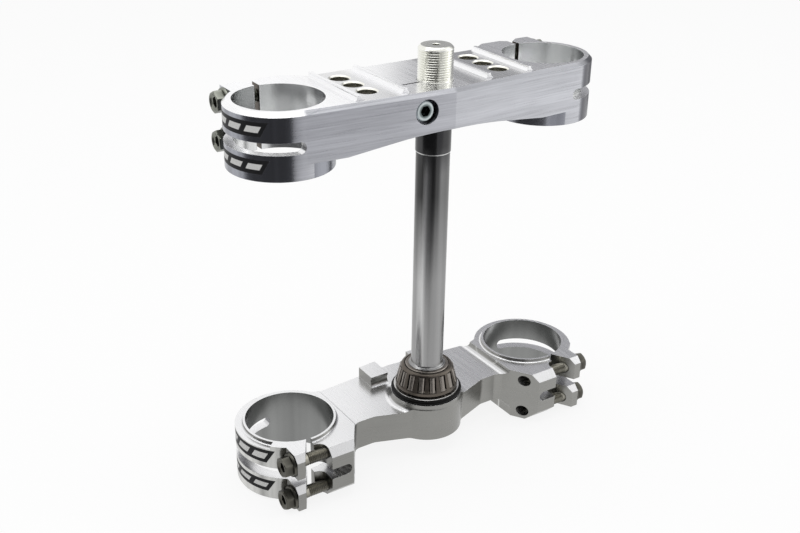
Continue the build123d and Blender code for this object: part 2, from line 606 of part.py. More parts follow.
# Seal carrier: a hub that holds the race off the boss, with a flange over the rubber
with BuildPart() as seal_carrier:
    with BuildSketch(Plane.XZ):
        with BuildLine():
            Polyline(
                (STEM_SEAT_RADIUS + RUNNING_GAP, 0),
                (CARRIER_HUB_RADIUS, 0),
                (CARRIER_HUB_RADIUS, SEAL_HEIGHT),
                (CARRIER_RADIUS, SEAL_HEIGHT),
                (CARRIER_RADIUS, SEAL_HEIGHT + CARRIER_THICKNESS),
                (CARRIER_HUB_RADIUS, SEAL_HEIGHT + CARRIER_THICKNESS),
                (CARRIER_HUB_RADIUS, RACE_BOTTOM_Z),
                (STEM_SEAT_RADIUS + RUNNING_GAP, RACE_BOTTOM_Z),
                close=True,
            )
        make_face()
    revolve(axis=Axis.Z)
save(seal_carrier, "seal_carrier")

# Rubber dust seal with a rounded lip
with BuildPart() as dust_seal:
    with BuildSketch(Plane.XZ):
        with BuildLine():
            lip_z = SEAL_HEIGHT / 2
            lip = ThreePointArc(
                (SEAL_RADIUS - lip_z, 0), (SEAL_RADIUS, lip_z), (SEAL_RADIUS - lip_z, SEAL_HEIGHT)
            )
            Polyline(
                lip @ 1,
                (CARRIER_HUB_RADIUS + RUNNING_GAP, SEAL_HEIGHT),
                (CARRIER_HUB_RADIUS + RUNNING_GAP, 0),
                lip @ 0,
            )
        make_face()
    revolve(axis=Axis.Z)
save(dust_seal, "dust_seal")

# Inner race: the raceway cone follows the rollers' inner line
roller_tilt = radians(ROLLER_TILT)
raceway_slope = tan(radians(ROLLER_TILT - ROLLER_TAPER))
contact_radius = ROLLER_PITCH_RADIUS - ROLLER_RADIUS * cos(roller_tilt) - RUNNING_GAP
contact_z = ROLLER_MIDDLE_Z - ROLLER_RADIUS * sin(roller_tilt)
foot_end_radius = ROLLER_PITCH_RADIUS + ROLLER_LENGTH / 2 * sin(roller_tilt)
foot_end_z = ROLLER_MIDDLE_Z - ROLLER_LENGTH / 2 * cos(roller_tilt) - CAGE_POCKET_GAP


def raceway_radius(z):
    """Radius of the inner raceway at a height."""
    return contact_radius - raceway_slope * (z - contact_z)


def foot_rib_z(radius):
    """Height of the foot rib's face, which guides the rollers' large ends."""
    return foot_end_z + (radius - foot_end_radius) * tan(roller_tilt)


foot_corner_z = foot_rib_z(raceway_radius(foot_end_z))
with BuildPart() as inner_race:
    with BuildSketch(Plane.XZ):
        with BuildLine():
            Polyline(
                (STEM_SEAT_RADIUS + RUNNING_GAP, RACE_BOTTOM_Z),
                (RACE_FOOT_RIB_RADIUS, RACE_BOTTOM_Z),
                (RACE_FOOT_RIB_RADIUS, foot_rib_z(RACE_FOOT_RIB_RADIUS)),
                (raceway_radius(foot_corner_z), foot_corner_z),
                (raceway_radius(RACE_TOP_RIB_Z), RACE_TOP_RIB_Z),
                (RACE_TOP_RIB_RADIUS, RACE_TOP_RIB_Z),
                (RACE_TOP_RIB_RADIUS, RACE_TOP_Z - EDGE_BREAK / 2),
                (RACE_TOP_RIB_RADIUS - EDGE_BREAK / 2, RACE_TOP_Z),
                (STEM_SEAT_RADIUS + RUNNING_GAP, RACE_TOP_Z),
                close=True,
            )
        make_face()
    revolve(axis=Axis.Z)
save(inner_race, "bearing_inner_race")

# Cage: a pressed steel cone with one pocket for each roller
pocket_width = 2 * (ROLLER_RADIUS + CAGE_POCKET_GAP)
pocket_length = ROLLER_LENGTH + 4 * CAGE_POCKET_GAP
with BuildPart() as cage:
    with BuildSketch(Plane.XZ):
        with BuildLine():
            cage_side = Polyline(
                (CAGE_FOOT_RADIUS, CAGE_FOOT_Z),
                (CAGE_FOOT_RADIUS, CAGE_FOOT_Z + CAGE_FOOT_BAND),
                (CAGE_TOP_RADIUS, CAGE_TOP_Z - CAGE_CROWN),
            )
            crown = TangentArc(cage_side @ 1, (CAGE_TOP_RADIUS - CAGE_CROWN, CAGE_TOP_Z), tangent=cage_side % 1)
            Polyline(
                crown @ 1,
                (CAGE_LIP_RADIUS, CAGE_TOP_Z),
                (CAGE_LIP_RADIUS, CAGE_TOP_Z - CAGE_WALL),
                (CAGE_TOP_RADIUS - CAGE_CROWN, CAGE_TOP_Z - CAGE_WALL),
                (CAGE_TOP_RADIUS - CAGE_WALL, CAGE_TOP_Z - CAGE_CROWN),
                (CAGE_FOOT_RADIUS - CAGE_WALL, CAGE_FOOT_Z + CAGE_FOOT_BAND),
                (CAGE_FOOT_RADIUS - CAGE_WALL, CAGE_FOOT_Z),
                cage_side @ 0,
            )
        make_face()
    revolve(axis=Axis.Z)
    for index in range(ROLLER_COUNT):
        turn = Plane.XY.rotated((0, 0, index * 360 / ROLLER_COUNT))
        pocket_plane = Plane(
            origin=turn.x_dir * ROLLER_PITCH_RADIUS + Vector(0, 0, ROLLER_MIDDLE_Z),
            x_dir=turn.y_dir,
            z_dir=turn.x_dir * cos(roller_tilt) + Vector(0, 0, sin(roller_tilt)),
        )
        with BuildSketch(pocket_plane):
            Rectangle(pocket_width, pocket_length)
        extrude(amount=2 * ROLLER_RADIUS, mode=Mode.SUBTRACT)
save(cage, "bearing_cage")

# Tapered rollers, large end down
for index in range(ROLLER_COUNT):
    turn = Plane.XY.rotated((0, 0, index * 360 / ROLLER_COUNT))
    roller_axis = turn.x_dir * -sin(roller_tilt) + Vector(0, 0, cos(roller_tilt))
    roller_centre = turn.x_dir * ROLLER_PITCH_RADIUS + Vector(0, 0, ROLLER_MIDDLE_Z)
    end_change = ROLLER_LENGTH / 2 * tan(radians(ROLLER_TAPER))
    with BuildPart(Plane(origin=roller_centre, x_dir=turn.y_dir, z_dir=roller_axis)) as roller:
        Cone(ROLLER_RADIUS + end_change, ROLLER_RADIUS - end_change, ROLLER_LENGTH)
    save(roller, f"bearing_roller_{index + 1:02d}")

# Fork pinch bolts: hexagon flange heads with a socket
for clamp, bolt_y, heights in (("upper", UPPER_BOLT_Y, UPPER_BOLT_Z), ("lower", LOWER_BOLT_Y, LOWER_BOLT_Z)):
    for side_name, side in (("left", -1), ("right", 1)):
        for place, bolt_z in zip(("bottom", "top"), heights):
            with BuildPart() as fork_bolt:
                with BuildSketch(side_plane(side, bolt_y, bolt_z, BOLT_SEAT_X)):
                    RegularPolygon(BOLT_HEX_ACROSS / 2, 6, major_radius=False)
                extrude(amount=BOLT_HEAD_HEIGHT)
                with BuildSketch(side_plane(side, bolt_y, bolt_z, BOLT_SEAT_X + BOLT_HEAD_HEIGHT)):
                    Circle(BOLT_HEX_ACROSS / 2)
                extrude(amount=-BOLT_HEAD_HEIGHT, taper=-BOLT_HEX_BEVEL, mode=Mode.INTERSECT)
                with BuildSketch(side_plane(side, bolt_y, bolt_z, BOLT_SEAT_X)):
                    Circle(BOLT_FLANGE_DIAMETER / 2)
                extrude(amount=BOLT_FLANGE_HEIGHT, taper=BOLT_FLANGE_TAPER)
                with BuildSketch(side_plane(side, bolt_y, bolt_z, BOLT_SEAT_X)):
                    Circle(BOLT_DIAMETER / 2)
                extrude(amount=-FORK_BOLT_LENGTH)
                tip = fork_bolt.faces().sort_by(Axis.X)[0 if side > 0 else -1]
                chamfer(tip.edges(), BOLT_TIP_CHAMFER)
                with BuildSketch(side_plane(side, bolt_y, bolt_z, BOLT_SEAT_X + BOLT_HEAD_HEIGHT)):
                    RegularPolygon(BOLT_SOCKET_ACROSS / 2, 6, major_radius=False)
                extrude(amount=-BOLT_SOCKET_DEPTH, mode=Mode.SUBTRACT)
            save(fork_bolt, f"{clamp}_{side_name}_{place}_bolt")

# Stem pinch bolt: a cylinder head sunk in the rear face
with BuildPart() as stem_bolt:
    with BuildSketch(pinch_plane):
        Circle(STEM_BOLT_HEAD_DIAMETER / 2)
    extrude(amount=STEM_BOLT_HEAD_HEIGHT)
    chamfer(stem_bolt.faces().sort_by(Axis.Y)[0].edges(), EDGE_BREAK)
    with BuildSketch(pinch_plane):
        Circle(BOLT_DIAMETER / 2)
    extrude(amount=-STEM_BOLT_LENGTH)
    chamfer(stem_bolt.faces().sort_by(Axis.Y)[-1].edges(), BOLT_TIP_CHAMFER)
    with BuildSketch(pinch_plane.offset(STEM_BOLT_HEAD_HEIGHT)):
        RegularPolygon(BOLT_SOCKET_ACROSS / 2, 6, major_radius=False)
    extrude(amount=-BOLT_SOCKET_DEPTH, mode=Mode.SUBTRACT)
save(stem_bolt, "stem_pinch_bolt")
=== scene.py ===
"""Looks for the motorcycle triple clamp.

Sizes are in millimetres where a comment or a name says so, otherwise in metres.
"""
from functools import partial
from math import cos, pi, radians, sin

import bmesh
import bpy
from mathutils import Matrix, Vector


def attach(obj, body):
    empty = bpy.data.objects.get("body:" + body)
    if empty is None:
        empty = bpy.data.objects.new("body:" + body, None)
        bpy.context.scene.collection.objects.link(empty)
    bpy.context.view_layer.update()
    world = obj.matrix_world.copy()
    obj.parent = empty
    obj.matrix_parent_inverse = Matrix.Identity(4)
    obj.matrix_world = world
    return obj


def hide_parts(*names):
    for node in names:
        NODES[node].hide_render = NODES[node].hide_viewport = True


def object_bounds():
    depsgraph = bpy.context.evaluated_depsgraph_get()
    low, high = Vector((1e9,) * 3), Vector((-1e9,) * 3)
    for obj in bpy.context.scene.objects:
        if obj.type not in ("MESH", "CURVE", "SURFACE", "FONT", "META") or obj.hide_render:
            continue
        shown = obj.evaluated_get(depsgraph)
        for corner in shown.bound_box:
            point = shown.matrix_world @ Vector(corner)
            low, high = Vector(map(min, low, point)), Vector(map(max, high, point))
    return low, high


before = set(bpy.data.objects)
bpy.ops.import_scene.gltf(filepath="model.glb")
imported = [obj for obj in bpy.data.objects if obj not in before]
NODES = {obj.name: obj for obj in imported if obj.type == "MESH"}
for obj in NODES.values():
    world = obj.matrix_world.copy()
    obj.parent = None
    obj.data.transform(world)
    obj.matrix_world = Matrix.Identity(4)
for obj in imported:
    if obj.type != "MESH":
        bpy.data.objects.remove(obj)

CAD_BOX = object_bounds()
MM = 0.001

# Camera, from the perspective of the photograph
CAMERA_PLACE = Vector((-0.37409, -0.52490, 0.40134))
CAMERA_AZIMUTH = -0.58914
CAMERA_ELEVATION = 0.44760
CAMERA_ROLL = 0.01624
CAMERA_LENS_MM = 49.121
CAMERA_SENSOR_MM = 36.0

# Sizes shared with the solids, in millimetres
FORK_X = 98.0
FORK_Y = 16.0
UPPER_BORE = 27.0
UPPER_RING = 32.5
LOWER_BORE = 29.0
LOWER_RING = 35.7
DECK_Z = 218.0
BOLT_SEAT_X = 116.5
STEM_BOLT_X = -19.9
STEM_BOLT_Z = 206.3
STEM_BOLT_FACE = (2.8, 6.5)
GRIP_THREAD = 1.25
NUT_THREAD = 1.5

# Where a material changes or light and shade are painted, in millimetres
UPPER_SLOT_Z = (193.6, 201.0)
LOWER_SLOT_Z = (-22.3, -14.7)
SLIT_X = (96.7, 99.9)
SLIT_Y = (42.0, 42.2)
SLIT_Z = (170.0, 171.0)
BAR_HOLES_X = (41.0, 56.0)
BAR_HOLES_Y = (-9.0, 42.0)
BAR_THREAD_HIGHLIGHT_Z = (212.6, 214.8)
LEFT_SHADE_X = (30.0, -40.0)
DECK_SHADE_X = (14.0, 62.0)
DIM_PATCH_X = (-60.0, -40.0)
FAR_RING_X = (60.0, 61.0)
# Painted light on the stem: reflections across the side seen, darker above, lighter below, shade under
# the clamp and a highlight on the step below it
STEM_SIDE_SEEN = (146.0, 326.0)  # degrees round the stem
STEM_DARK_ABOVE_Z = 145.0
STEM_LIGHT_BELOW_Z = 85.0
STEM_SHADE_Z = (160.0, 178.0)
STEM_SEAM_Z = (172.7, 173.3)
STEM_THREAD_Z = (217.5, 218.2)

# Painted light and shade, and other marks: a colour, or a share of the tone round it
SLIT_SHADE_TONE = (0.10, 0.085, 0.07, 1)
SLOT_SHADE_TONE = (0.22, 0.22, 0.23, 1)
FAR_RING_SHADE_TONE = (0.13, 0.13, 0.145, 1)
STEM_SHADE_TONE = (0.07, 0.07, 0.072, 1)
STEM_SEAM_HIGHLIGHT_TONE = (0.95, 0.95, 0.94, 1)
STEM_THREAD_TONE = (0.92, 0.92, 0.86, 1)
LEFT_SHADE_SHARE = 0.88
RIGHT_CHAMFER_SHADE_SHARE = 0.62
DECK_SHADE_SHARE = 0.74
DIM_PATCH_SHARE = 0.80
CLOUD_SHARE = 0.94

# Roughness, from low to high where it follows the tool marks
WALL_ROUGHNESS = (0.26, 0.32)
TOP_ROUGHNESS = (0.25, 0.30)
TURNED_ROUGHNESS = 0.24
LABEL_ROUGHNESS = 0.4
STEM_ROUGHNESS = (0.22, 0.25)

# Plain labels on the left rings: heights of each band in millimetres, and the degrees where it
# starts and ends round the ring
UPPER_LABELS = ((204.2, 212.8), (182.4, 190.8))
LOWER_LABELS = ((-11.4, -1.9), (-33.2, -24.8))
LABEL_START = 150.0
UPPER_LABEL_END = 228.0
LOWER_LABEL_END = 222.0
LABEL_SLANT = 1.0
LABEL_STEP = 24.0
LABEL_BAR = (3.5, 20.5)
LABEL_RIM = 2.5
LABEL_SIDE_RIM = 5.0

# Directions, and settings of the shaders
UP = (0, 0, 1)
REAR = (0, -1, 0)
RIGHT = (1, 0, 0)
NOISE_LOW = 0.3
NOISE_HIGH = 0.7
BUMP_MM = 0.02
BEVEL_SAMPLES = 4

FLOOR_Z = CAD_BOX[0][2] - 0.05 * MM


class Shader:
    """A node tree with short calls for its nodes and links."""

    def __init__(self, tree):
        self.tree = tree

    def node(self, kind, inputs=None, **settings):
        made = self.tree.nodes.new(kind)
        for key, value in settings.items():
            setattr(made, key, value)
        for key, value in (inputs or {}).items():
            self.feed(made.inputs[key], value)
        return made

    def feed(self, socket, value):
        if isinstance(value, bpy.types.NodeSocket):
            self.tree.links.new(value, socket)
        else:
            socket.default_value = value

    def math(self, operation, a, b=0.0):
        made = self.node("ShaderNodeMath", operation=operation)
        self.feed(made.inputs[0], a)
        self.feed(made.inputs[1], b)
        return made.outputs[0]

    def times(self, first, *others):
        for other in others:
            first = self.math("MULTIPLY", first, other)
        return first

    def most(self, first, *others):
        for other in others:
            first = self.math("MAXIMUM", first, other)
        return first

    def without(self, value):
        return self.math("SUBTRACT", 1.0, value)

    def length(self, a, b):
        """The length of a vector with two parts."""
        squares = [self.math("POWER", part, 2.0) for part in (a, b)]
        return self.math("SQRT", self.math("ADD", *squares))

    def mix(self, factor, a, b, blend="MIX"):
        made = self.node("ShaderNodeMix", data_type="RGBA", blend_type=blend)
        self.feed(made.inputs[0], factor)
        self.feed(made.inputs[6], a)
        self.feed(made.inputs[7], b)
        return made.outputs[2]

    def mix_values(self, factor, a, b):
        return self.node("ShaderNodeMix", {0: factor, 2: a, 3: b}, data_type="FLOAT").outputs[0]

    def ramp(self, factor, *stops):
        made = self.node("ShaderNodeValToRGB")
        elements = made.color_ramp.elements
        while len(elements) < len(stops):
            elements.new(0.5)
        for element, (place, value) in zip(elements, stops):
            element.position = place
            element.color = (value, value, value, 1.0) if isinstance(value, float) else (*value, 1.0)
        self.feed(made.inputs[0], factor)
        return made.outputs[0]

    def dimmed(self, colour, mask, least):
        """The colour, down to a share of itself where the mask is 1."""
        return self.mix(1.0, colour, self.ramp(mask, (0.0, 1.0), (1.0, least)), blend="MULTIPLY")

    def mottled(self, colour, noise, least):
        """The colour, down to a share of itself where the noise is low."""
        factor = self.ramp(noise, (NOISE_LOW, least), (NOISE_HIGH, 1.0))
        return self.mix(1.0, colour, factor, blend="MULTIPLY")

    def noise(self, scale, stretch=(1, 1, 1), detail=3.0, roughness=0.55):
        place = self.node("ShaderNodeTexCoord").outputs["Object"]
        mapped = self.node("ShaderNodeMapping", {"Vector": place, "Scale": stretch})
        settings = {"Scale": scale, "Detail": detail, "Roughness": roughness}
        return self.node("ShaderNodeTexNoise", {"Vector": mapped.outputs[0], **settings}).outputs[0]

    def spread(self, noise, low, high):
        """A value that runs from low to high with the noise."""
        return self.step(noise, NOISE_LOW, NOISE_HIGH, low, high)

    def step(self, value, low, high, start=0.0, end=1.0):
        """The start below low, the end above high, a straight ramp between them."""
        ends = {"Value": value, "From Min": low, "From Max": high, "To Min": start, "To Max": end}
        return self.node("ShaderNodeMapRange", ends).outputs[0]

    def facing(self, axis, low, high):
        """1 where the surface's normal lies along an axis, 0 where it does not."""
        normal = self.node("ShaderNodeNewGeometry").outputs["Normal"]
        dot = self.node("ShaderNodeVectorMath", {0: normal, 1: axis}, operation="DOT_PRODUCT")
        return self.step(dot.outputs["Value"], low, high)

    def between(self, value, low, high, soft):
        """1 inside a range, fading to 0 over a soft margin outside it."""
        return self.times(self.step(value, low - soft, low), self.step(value, high + soft, high))

    def place(self):
        """Object coordinates in millimetres, apart."""
        where = self.node("ShaderNodeTexCoord").outputs["Object"]
        apart = self.node("ShaderNodeSeparateXYZ", {0: where}).outputs
        return [self.math("DIVIDE", apart[index], MM) for index in range(3)]

    def round_axis(self, x, y):
        """Distance from an upright axis and the angle round it in degrees, 0 to 360."""
        near_x = self.math("SUBTRACT", self.xyz[0], x)
        near_y = self.math("SUBTRACT", self.xyz[1], y)
        turn = self.times(self.math("ARCTAN2", near_y, near_x), 180 / pi)
        return self.length(near_x, near_y), self.math("MODULO", self.math("ADD", turn, 360.0), 360.0)

    def painted_reflection_bands(self, scale, low):
        """Painted reflections: soft upright stripes round the stem's axis, between a low share and 1."""
        flattened = {0: self.xyz[0], 1: self.xyz[1], 2: self.times(self.xyz[2], 0.01)}
        round_it = self.node("ShaderNodeCombineXYZ", flattened).outputs[0]
        waves = self.node("ShaderNodeTexNoise", {"Vector": round_it, "Scale": scale, "Detail": 2.0})
        return self.ramp(waves.outputs[0], (0.32, low), (0.68, 1.0))

    def rounded(self, edge_mm):
        """The normal, with edges that look broken by a radius."""
        return self.node("ShaderNodeBevel", {"Radius": edge_mm * MM}, samples=BEVEL_SAMPLES).outputs[0]

    def bump(self, height, strength, depth_mm, normal=None):
        settings = {"Height": height, "Strength": strength, "Distance": depth_mm * MM}
        if normal is not None:
            settings["Normal"] = normal
        return self.node("ShaderNodeBump", settings).outputs[0]


def blank(name):
    """A material with an empty node tree."""
    made = bpy.data.materials.new(name)
    made.use_nodes = True
    made.node_tree.nodes.clear()
    return made, Shader(made.node_tree)


def material(name, metallic=0.0):
    """A material with one principled surface, still plain."""
    made, shader = blank(name)
    surface = shader.node("ShaderNodeBsdfPrincipled")
    surface.inputs["Metallic"].default_value = metallic
    shader.node("ShaderNodeOutputMaterial", {0: surface.outputs[0]})
    return made, shader, surface


# Materials
def metal(name, colour, roughness, streak, scale, variation, edge=0.25, shank=0.0, root_shade=1.0):
    """Bare steel: fine tool marks along one way, faint blotches and softly broken edges.

    shank is painted light and shade on a bolt's shank: lighter above by that much, and darker below.
    root is the share of the colour that is left in a thread's roots: painted shade in the creases.
    """
    made, shader, surface = material(name, metallic=1.0)
    lines = shader.noise(scale, streak, detail=4.0, roughness=0.6)
    clouds = shader.noise(35.0)
    dark = tuple(channel * (1 - 2.2 * variation) for channel in colour)
    tint = shader.mix(shader.ramp(lines, (NOISE_LOW, 0.0), (NOISE_HIGH, 1.0)), (*dark, 1), (*colour, 1))
    tint = shader.mottled(tint, clouds, 1.0 - variation)
    # Painted light and shade: the shank lighter where it faces up, darker where it faces down.
    if shank:
        inward = shader.step(shader.math("ABSOLUTE", shader.place()[0]), BOLT_SEAT_X, BOLT_SEAT_X - 0.5)
        above = shader.times(shader.facing(UP, -0.6, 0.9), shank)
        painted_shank_light = shader.math("ADD", shader.times(inward, shader.math("SUBTRACT", above, 0.5)), 1.0)
        tint = shader.mix(1.0, tint, painted_shank_light, blend="MULTIPLY")
    # Painted shade in the thread's roots, where the surface is hollow.
    if root_shade < 1.0:
        convex = shader.node("ShaderNodeNewGeometry").outputs["Pointiness"]
        tint = shader.mix(1.0, tint, shader.ramp(convex, (0.40, root_shade), (0.49, 1.0)), blend="MULTIPLY")
    shader.feed(surface.inputs["Base Color"], tint)
    shader.feed(surface.inputs["Roughness"], shader.spread(lines, roughness * 0.8, roughness * 1.25))
    shader.feed(surface.inputs["Normal"], shader.bump(lines, 0.15, BUMP_MM, shader.rounded(edge)))
    return made


def label_mask(shader, ranges, ring, end):
    """The dark ground of the labels on the left ring, and the pale bars inside it."""
    reach, turn = shader.round_axis(-FORK_X, FORK_Y)
    z = shader.xyz[2]
    on_wall = shader.between(reach, ring - 0.2, ring + 0.2, 0.05)
    ground, bars = 0.0, 0.0
    for low, high in ranges:
        above_middle = shader.math("SUBTRACT", z, (low + high) / 2)
        leant = shader.math("SUBTRACT", turn, shader.times(above_middle, LABEL_SLANT))
        across = shader.between(leant, LABEL_START, end, 0.2)
        ground = shader.most(ground, shader.times(shader.between(z, low, high, 0.1), across))
        tall = shader.between(z, low + LABEL_RIM, high - LABEL_RIM, 0.1)
        wide = shader.between(leant, LABEL_START + LABEL_SIDE_RIM, end - LABEL_SIDE_RIM, 0.2)
        from_end = shader.math("ADD", leant, LABEL_STEP - end % LABEL_STEP)
        along = shader.math("MODULO", from_end, LABEL_STEP)
        bars = shader.most(bars, shader.times(tall, wide, shader.between(along, *LABEL_BAR, 0.3)))
    return shader.times(on_wall, ground), shader.times(on_wall, bars)


def clamp_metal(name, bore, ring, labels, label_end, painted_light_tones, streaks, chamfer_shade_share, level_from, slot, upper):
    """Machined aluminium: faces above painted bright (painted light), milled streaks along the flat
    walls, smooth turned rings.

    tones are those of the walls, rings, bores and top faces: one aluminium, lighter or darker by which
    way each face looks, which is painted light and shade.
    slant is the share of the top's tone that its chamfers have: painted shade on these tilted faces.
    upper is 1 for the upper clamp, which has some areas of its own, and 0 for the lower one.
    """
    wall_tone, ring_tone, bore_tone, top_tone = painted_light_tones
    made, shader, surface = material(name)
    shader.xyz = x, y, z = shader.place()
    beside = shader.math("ABSOLUTE", x)
    near_x = shader.math("SUBTRACT", beside, FORK_X)
    reach = shader.length(near_x, shader.math("SUBTRACT", y, FORK_Y))
    on_right = shader.times(shader.step(x, -1.0, 1.0), upper)

    # Which way the surface faces, and which surface it is
    upright = shader.without(shader.facing(UP, 0.0, 1.0))
    flat = shader.facing(UP, level_from, level_from + 0.15)
    in_line = shader.times(
        shader.facing(REAR, 0.955, 0.975), shader.step(near_x, -5.0, -4.5), upper,
    )
    on_ring = shader.between(reach, ring - 0.3, ring + 0.3, 0.15)
    on_ring = shader.times(on_ring, upright, shader.without(in_line))
    in_bore = shader.times(shader.step(reach, bore + 0.6, bore + 0.3), upright)
    ring_edge = shader.times(
        shader.step(reach, ring + 0.2, ring), shader.step(near_x, -1.0, 1.0),
        shader.facing(UP, 0.45, 0.60), shader.without(on_right),
    )
    above_top = shader.step(z, DECK_Z + 0.1, DECK_Z + 0.2)
    top_side = shader.most(flat, ring_edge, above_top)
    smooth = shader.most(on_ring, in_bore)
    in_slot = shader.times(
        shader.between(z, *slot, 0.05), shader.between(reach, bore + 0.5, ring - 0.4, 0.1),
    )

    # Tool marks
    along_x = shader.noise(900.0, (0.02, 0.25, 1.0), detail=4.0, roughness=0.6)
    broad = shader.noise(160.0, (0.03, 0.2, 1.0), detail=2.0)
    sweep = shader.noise(500.0, (1.0, 0.05, 0.25), detail=2.0, roughness=0.5)
    clouds = shader.noise(22.0)
    grain = shader.noise(1500.0, detail=2.0)

    # Walls, rings and bores
    dark = tuple((1 - streaks) * part for part in wall_tone)
    wall = shader.mix(shader.ramp(along_x, (0.28, 0.0), (0.72, 1.0)), (*dark, 1), (*wall_tone, 1))
    wall = shader.mottled(wall, broad, 1.0 - streaks / 2)
    # Painted shade: the walls on the left are darker.
    wall = shader.dimmed(wall, shader.step(x, *LEFT_SHADE_X), LEFT_SHADE_SHARE)
    # Painted shade: the upper clamp's chamfers on the right are darker.
    right_chamfer_shade = shader.times(shader.facing(UP, 0.35, 0.50), on_right)
    wall = shader.dimmed(wall, right_chamfer_shade, RIGHT_CHAMFER_SHADE_SHARE)
    # Painted reflections: soft upright stripes on the turned rings and in the bores.
    turned = shader.mix(1.0, (*ring_tone, 1), shader.painted_reflection_bands(0.11, 0.55), blend="MULTIPLY")
    bored = shader.mix(1.0, (*bore_tone, 1), shader.painted_reflection_bands(0.09, 0.80), blend="MULTIPLY")
    colour = shader.mix(in_bore, shader.mix(on_ring, wall, turned), bored)

    # Slits, slots and the tapped bar-mount holes: painted shade inside them, with painted highlights in
    # the holes
    slit_shade = shader.times(
        shader.between(beside, *SLIT_X, 0.05), shader.step(y, *SLIT_Y), shader.step(z, *SLIT_Z), upright,
    )
    # Painted shade on the walls of the slits.
    colour = shader.mix(slit_shade, colour, SLIT_SHADE_TONE)
    # Painted shade on the walls of the slots.
    colour = shader.mix(in_slot, colour, SLOT_SHADE_TONE)
    # Painted shade inside the bar-mount holes, with painted highlights round their tops and in a band
    # down the thread.
    near_hole = shader.times(
        shader.between(beside, *BAR_HOLES_X, 0.5), shader.between(y, *BAR_HOLES_Y, 0.5),
        shader.step(z, DECK_Z + 0.1, DECK_Z - 0.1),
        shader.without(shader.facing(UP, 0.72, 0.9)), shader.facing(UP, -0.5, -0.2), upper,
    )
    painted_mouth_highlight = shader.step(z, DECK_Z - 1.0, DECK_Z - 0.8)
    painted_thread_highlight = shader.most(shader.between(z, *BAR_THREAD_HIGHLIGHT_Z, 0.8), painted_mouth_highlight)
    tapped = shader.ramp(painted_thread_highlight, (0.0, (0.42, 0.41, 0.36)), (1.0, (0.98, 0.97, 0.90)))
    colour = shader.mix(near_hole, colour, tapped)

    # Top faces, painted brighter than the walls: painted light
    light = (top_tone, top_tone, 1.01 * top_tone, 1)
    swept = (0.97 * top_tone, 0.97 * top_tone, 0.98 * top_tone, 1)
    top = shader.mix(shader.ramp(sweep, (NOISE_LOW, 0.0), (NOISE_HIGH, 1.0)), swept, light)
    on_deck = shader.between(z, DECK_Z - 0.1, DECK_Z + 0.1, 0.1)
    # Painted shade: a darker stretch of the deck on the right.
    deck_shade = shader.times(shader.between(x, *DECK_SHADE_X, 3.0), on_deck)
    # A darker patch on the deck at the left.
    dim_patch = shader.times(shader.between(x, *DIM_PATCH_X, 6.0), on_deck)
    top = shader.dimmed(shader.dimmed(top, deck_shade, DECK_SHADE_SHARE), dim_patch, DIM_PATCH_SHARE)
    # Painted shade: the chamfers round the top, darkened to a share of its tone.
    top = shader.dimmed(top, shader.facing(UP, 0.92, 0.82), chamfer_shade_share)
    colour = shader.mix(top_side, colour, top)
    # Painted shade on the far side of the right ring.
    far_side_shade = shader.times(
        shader.step(x, *FAR_RING_X), shader.facing(RIGHT, 0.20, 0.34),
        shader.between(reach, bore + 2.0, ring + 0.3, 0.3), upper,
    )
    colour = shader.mix(far_side_shade, colour, FAR_RING_SHADE_TONE)
    colour = shader.mottled(colour, clouds, CLOUD_SHARE)

    # Labels
    ground, bars = label_mask(shader, labels, ring, label_end)
    ink = shader.ramp(grain, (NOISE_LOW, (0.010, 0.010, 0.011)), (NOISE_HIGH, (0.020, 0.020, 0.021)))
    pale = shader.ramp(grain, (NOISE_LOW, (0.50, 0.50, 0.49)), (NOISE_HIGH, (0.60, 0.60, 0.59)))
    colour = shader.mix(bars, shader.mix(ground, colour, ink), pale)

    shader.feed(surface.inputs["Base Color"], colour)
    shader.feed(surface.inputs["Metallic"], shader.without(ground))
    surface.inputs["Specular IOR Level"].default_value = 0.08
    wall_rough = shader.spread(along_x, *WALL_ROUGHNESS)
    rough = shader.mix_values(top_side, wall_rough, shader.spread(sweep, *TOP_ROUGHNESS))
    rough = shader.mix_values(smooth, rough, TURNED_ROUGHNESS)
    shader.feed(surface.inputs["Roughness"], shader.most(rough, shader.times(ground, LABEL_ROUGHNESS)))
    marks = shader.mix_values(top_side, along_x, sweep)
    marks = shader.times(marks, shader.without(shader.most(smooth, in_slot)))
    shader.feed(surface.inputs["Normal"], shader.bump(marks, 0.012, BUMP_MM, shader.rounded(0.3)))
    return made


